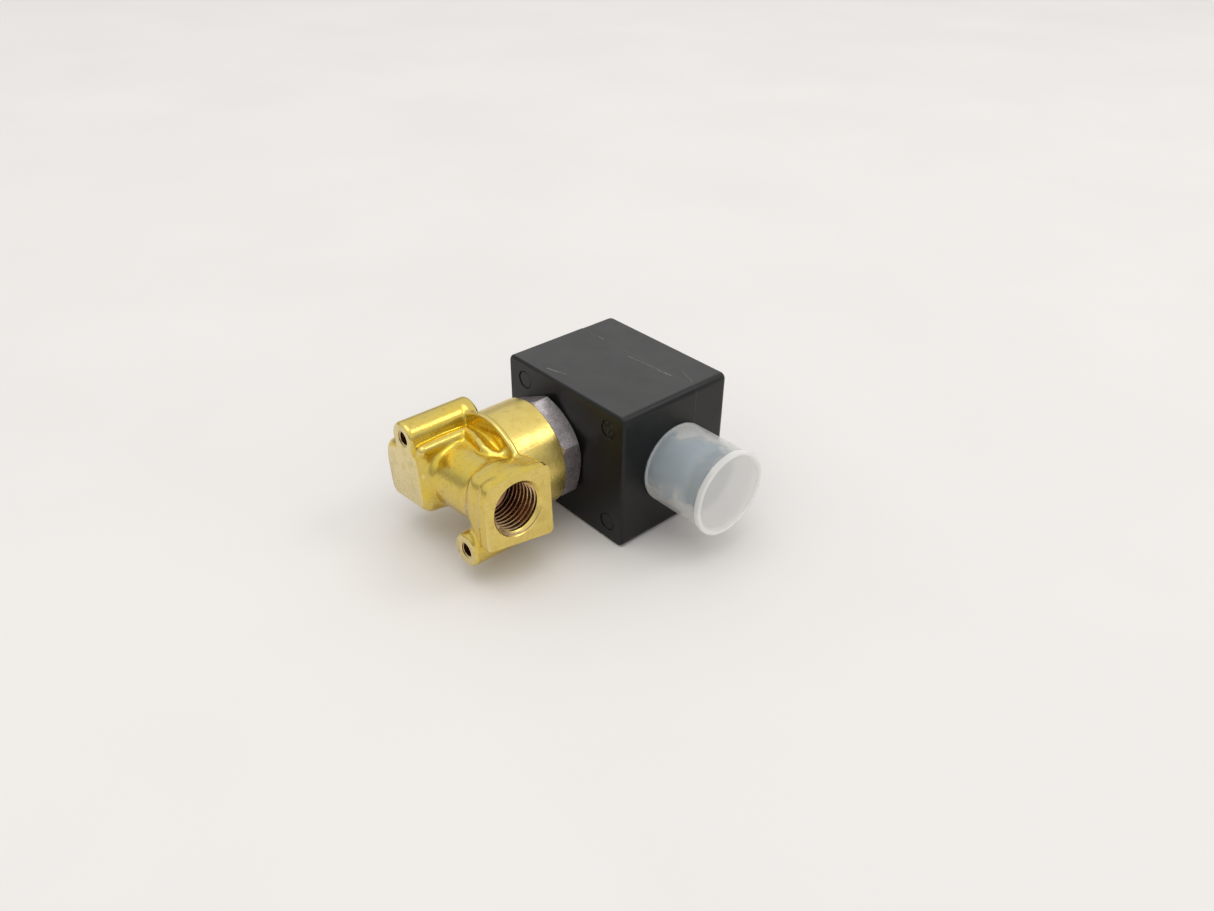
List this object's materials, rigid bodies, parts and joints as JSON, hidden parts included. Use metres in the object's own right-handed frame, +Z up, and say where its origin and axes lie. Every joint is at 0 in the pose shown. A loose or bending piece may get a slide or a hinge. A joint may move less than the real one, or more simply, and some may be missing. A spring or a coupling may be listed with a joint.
{
  "type": "solenoid valve",
  "caption": "Direct-acting solenoid valve: forged brass body with threaded ports, square black coil and a capped round connector.",
  "frame": {"origin": "centre of the two mounting holes, on the tube's axis, in the plane of the mounting face", "axes": "+X along the tube from the brass body to the coil nut, -Y the side of the front port and of the connector, +Z up from the coil face that the valve lies on"},
  "size_m": [0.0758, 0.0652, 0.0364],
  "materials": {
    "forged_brass": "forged satin with machined faces",
    "machined_steel": "fine turned",
    "tube_steel": "drawn",
    "core_steel": "ground",
    "spring_steel": "drawn wire",
    "yoke_steel": "zinc-plated sheet",
    "zinc_plate": "bright zinc plate",
    "zinc_blue": "blue-passivated zinc plate",
    "copper": "enamelled copper",
    "contact_brass": "bright",
    "black_moulding": "satin moulded",
    "black_cover": "satin moulded",
    "insulator_black": "moulded",
    "white_plastic": "moulded",
    "clear_polyethylene": "frosted translucent",
    "black_rubber": "moulded"
  },
  "bodies": {
    "valve": {"valve_body": "forged_brass", "bonnet_nut": "machined_steel", "bonnet_o_ring": "black_rubber", "armature_tube": "tube_steel", "fixed_core": "core_steel", "shading_ring": "copper", "return_spring": "spring_steel", "spring_washer": "zinc_plate", "coil_nut": "zinc_plate"},
    "plunger": {"armature": "core_steel", "seat_seal": "black_rubber", "guide_ring": "white_plastic"},
    "coil": {"coil_housing": "black_moulding", "rear_cover": "black_cover", "yoke_frame": "yoke_steel", "front_flux_bush": "yoke_steel", "rear_flux_bush": "yoke_steel", "bobbin": "white_plastic", "winding": "copper", "front_coil_seal": "black_rubber", "rear_coil_seal": "black_rubber", "connector_shell": "zinc_blue", "connector_insulator": "insulator_black", "contact_pins": "contact_brass", "winding_leads": "copper", "earth_strap": "contact_brass", "connector_face_seal": "black_rubber"},
    "cap": {"protective_cap": "clear_polyethylene"}
  },
  "joints": [
    {"name": "armature_lift", "type": "slide", "parent": "valve", "child": "plunger", "axis": [1, 0, 0], "range_m": [0, 0.0025], "stiffness_N_per_m": 250, "springref_m": -0.012, "deforming": ["return_spring"]},
    {"name": "coil_turn", "type": "hinge", "parent": "valve", "child": "coil", "pos_m": [0.05, 0, 0], "axis": [1, 0, 0], "continuous": true},
    {"name": "cap_pull", "type": "slide", "parent": "coil", "child": "cap", "axis": [0, -1, 0], "range_m": [0, 0.025]}
  ]
}
